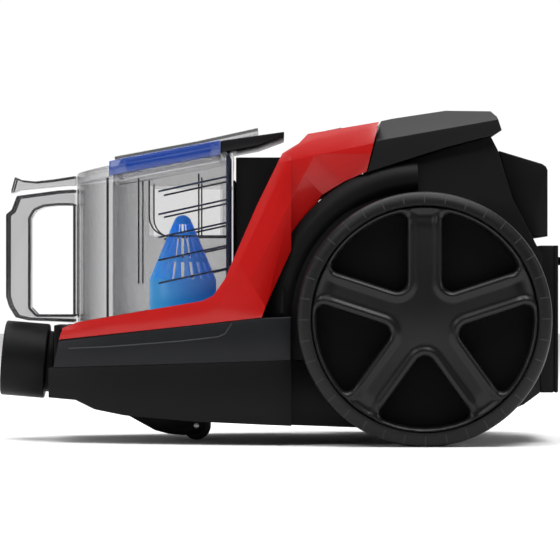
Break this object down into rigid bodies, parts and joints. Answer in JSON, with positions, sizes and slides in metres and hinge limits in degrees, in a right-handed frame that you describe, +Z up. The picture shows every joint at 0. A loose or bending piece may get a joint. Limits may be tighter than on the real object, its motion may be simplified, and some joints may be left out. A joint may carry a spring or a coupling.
{
  "type": "canister vacuum cleaner",
  "caption": "Compact bagless canister vacuum cleaner with a lift-out cyclone bin, sweeping side trims, big spoked rear wheels and a front hose inlet.",
  "frame": {"origin": "on the floor, under the middle of the machine's overall box", "axes": "+Z up; the machine faces -X, with the hose inlet at the front; left is -Y"},
  "size_m": [0.4135, 0.281, 0.2397],
  "materials": {
    "red_gloss": "high gloss moulded",
    "slate": "fine grained satin",
    "black_satin": "satin black moulding",
    "cap_grey": "satin dark grey",
    "tyre_black": "soft rubber",
    "wheel_black": "satin black",
    "clear_smoke": "clear polycarbonate",
    "smoke": "smoky clear plastic",
    "blue_clear": "translucent blue",
    "blue_dark": "deep blue",
    "cone_blue": "bright blue",
    "lid_black": "glossy smoke black",
    "rubber": "soft seal",
    "steel": "turned",
    "motor_metal": "pressed can",
    "laminations": "stacked steel sheet",
    "copper": "copper bars and windings",
    "carbon": "pressed carbon",
    "foam": "open foam",
    "filter_white": "pleated paper",
    "white_plastic": "natural nylon",
    "board_green": "coated board"
  },
  "bodies": {
    "chassis": {"base_tub": "black_satin", "nose_panel": "black_satin", "bin_bay": "black_satin", "upper_housing": "black_satin", "top_cover": "cap_grey", "control_panel": "black_satin", "side_skirt_left": "slate", "side_skirt_right": "slate", "red_trim_left": "red_gloss", "red_trim_right": "red_gloss", "wheel_axles": "steel", "axle_clips": "steel", "inlet_collar": "black_satin", "inlet_seal": "rubber", "inlet_duct": "black_satin", "exhaust_box": "black_satin", "exhaust_filter": "filter_white", "rear_box": "black_satin", "cord_outlet": "black_satin", "motor_casing": "motor_metal", "motor_bearings": "steel", "motor_stator": "laminations", "carbon_brushes": "carbon", "motor_mounts": "rubber", "bin_grille": "black_satin", "motor_filter": "foam", "reel_bridge": "white_plastic", "spring_case": "steel", "circuit_board": "board_green", "deck_screws": "steel"},
    "wheel_left": {"tyre_left": "tyre_black", "wheel_core_left": "wheel_black", "wheel_cover_left": "wheel_black"},
    "wheel_right": {"tyre_right": "tyre_black", "wheel_core_right": "wheel_black", "wheel_cover_right": "wheel_black"},
    "bin": {"bin_bucket": "clear_smoke", "cyclone_wall": "smoke", "outlet_frame": "blue_dark", "vortex_cone": "cone_blue", "bin_seal": "rubber"},
    "bin_lid": {"lid_front": "clear_smoke", "lid_ring": "blue_clear", "lid_window": "clear_smoke", "lid_rear": "lid_black", "lid_seal": "rubber"},
    "bin_release": {"release_button": "clear_smoke"},
    "caster": {"caster_fork": "black_satin", "caster_pin": "steel"},
    "caster_wheel": {"caster_roller": "tyre_black", "roller_pin": "steel"},
    "exhaust_hatch": {"exhaust_door": "black_satin"},
    "rotor": {"motor_shaft": "steel", "armature": "copper", "fan_impeller": "white_plastic"},
    "reel": {"cord_reel": "white_plastic"},
    "reel_brake": {"brake_lever": "white_plastic"},
    "power_switch": {"power_button": "cap_grey"},
    "rewind_switch": {"rewind_button": "cap_grey"},
    "suction_control": {"suction_slider": "cap_grey"}
  },
  "joints": [
    {"name": "wheel_left_spin", "type": "hinge", "parent": "chassis", "child": "wheel_left", "pos_m": [0.102, -0.124, 0.09], "axis": [0, 1, 0], "continuous": true},
    {"name": "wheel_right_spin", "type": "hinge", "parent": "chassis", "child": "wheel_right", "pos_m": [0.102, 0.124, 0.09], "axis": [0, 1, 0], "continuous": true},
    {"name": "caster_swivel", "type": "hinge", "parent": "chassis", "child": "caster", "pos_m": [-0.09, 0, 0.02], "axis": [0, 0, 1], "continuous": true},
    {"name": "caster_roll", "type": "hinge", "parent": "caster", "child": "caster_wheel", "pos_m": [-0.0615, 0, 0.0104], "axis": [0, 1, 0], "continuous": true},
    {"name": "bin_lift", "type": "slide", "parent": "chassis", "child": "bin", "axis": [0, 0, 1], "range_m": [0, 0.16]},
    {"name": "lid_lift", "type": "slide", "parent": "bin", "child": "bin_lid", "axis": [0, 0, 1], "range_m": [0, 0.08]},
    {"name": "release_press", "type": "slide", "parent": "bin", "child": "bin_release", "axis": [0, 0, -1], "range_m": [0, 0.002], "stiffness_N_per_m": 300},
    {"name": "exhaust_door_open", "type": "hinge", "parent": "chassis", "child": "exhaust_hatch", "pos_m": [0.1991, 0, 0.038], "axis": [0, 1, 0], "range_deg": [0, 75]},
    {"name": "motor_spin", "type": "hinge", "parent": "chassis", "child": "rotor", "pos_m": [0.084, 0, 0.092], "axis": [1, 0, 0], "continuous": true},
    {"name": "reel_spin", "type": "hinge", "parent": "chassis", "child": "reel", "pos_m": [0.103, 0, 0.165], "axis": [0, 0, 1], "continuous": true},
    {"name": "power_press", "type": "slide", "parent": "chassis", "child": "power_switch", "axis": [0, 0, -1], "range_m": [0, 0.003], "stiffness_N_per_m": 400},
    {"name": "rewind_press", "type": "slide", "parent": "chassis", "child": "rewind_switch", "axis": [0, 0, -1], "range_m": [0, 0.003], "stiffness_N_per_m": 400},
    {"name": "brake_release", "type": "hinge", "parent": "chassis", "child": "reel_brake", "pos_m": [0.133, 0.051, 0.169], "axis": [0, 0, -1], "range_deg": [0, 6]},
    {"name": "suction_slide", "type": "slide", "parent": "chassis", "child": "suction_control", "axis": [0.9793, 0, 0.2025], "range_m": [-0.011, 0.011]}
  ],
  "couplings": [
    {"joint": "brake_release", "follows": "rewind_press", "rad_per_m": 34}
  ]
}
